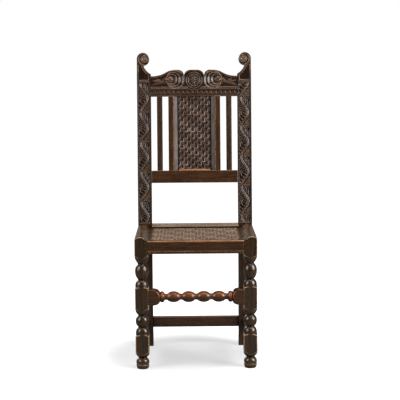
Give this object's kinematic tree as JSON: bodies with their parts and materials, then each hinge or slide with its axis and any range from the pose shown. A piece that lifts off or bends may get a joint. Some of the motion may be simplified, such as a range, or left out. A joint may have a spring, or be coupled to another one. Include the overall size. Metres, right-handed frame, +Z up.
{
  "type": "joined side chair",
  "caption": "Joined oak side chair: turned front legs, bobbin-turned stretcher, tall raked back with scrolled ears, lobed crest and a narrow woven panel, woven seat.",
  "frame": {"origin": "on the floor, under the middle of the chair's width and depth", "axes": "+Z up, +X to the right for someone who faces the chair's front, the chair faces -Y"},
  "size_m": [0.455, 0.455, 1.1784],
  "materials": {
    "carved_oak": "old waxed oak, dark, carved in low relief",
    "turned_oak": "old waxed oak, turned, worn lighter on its high places",
    "framed_oak": "old waxed oak, planed",
    "oak_pegs": "riven oak pegs, cut flush and waxed",
    "woven_cane": "close woven cane, darkened with age"
  },
  "bodies": {
    "root": {"back_muntin_left": "framed_oak", "back_muntin_right": "framed_oak", "back_post_left": "carved_oak", "back_post_right": "carved_oak", "back_rail_pegs": "oak_pegs", "back_slat_left": "framed_oak", "back_slat_right": "framed_oak", "crest_pegs": "oak_pegs", "crest_rail": "carved_oak", "front_leg_left": "turned_oak", "front_leg_right": "turned_oak", "front_rail_pegs": "oak_pegs", "front_stretcher": "turned_oak", "front_stretcher_pegs": "oak_pegs", "lower_back_rail": "framed_oak", "lower_back_rail_pegs": "oak_pegs", "panel_sill": "framed_oak", "rear_stretcher": "framed_oak", "rear_stretcher_pegs": "oak_pegs", "seat_rail_back": "framed_oak", "seat_rail_front": "framed_oak", "seat_rail_left": "framed_oak", "seat_rail_right": "framed_oak", "side_rail_pegs": "oak_pegs", "side_stretcher_left": "framed_oak", "side_stretcher_pegs": "oak_pegs", "side_stretcher_right": "framed_oak", "woven_back_panel": "woven_cane", "woven_seat_panel": "woven_cane"}
  },
  "joints": []
}
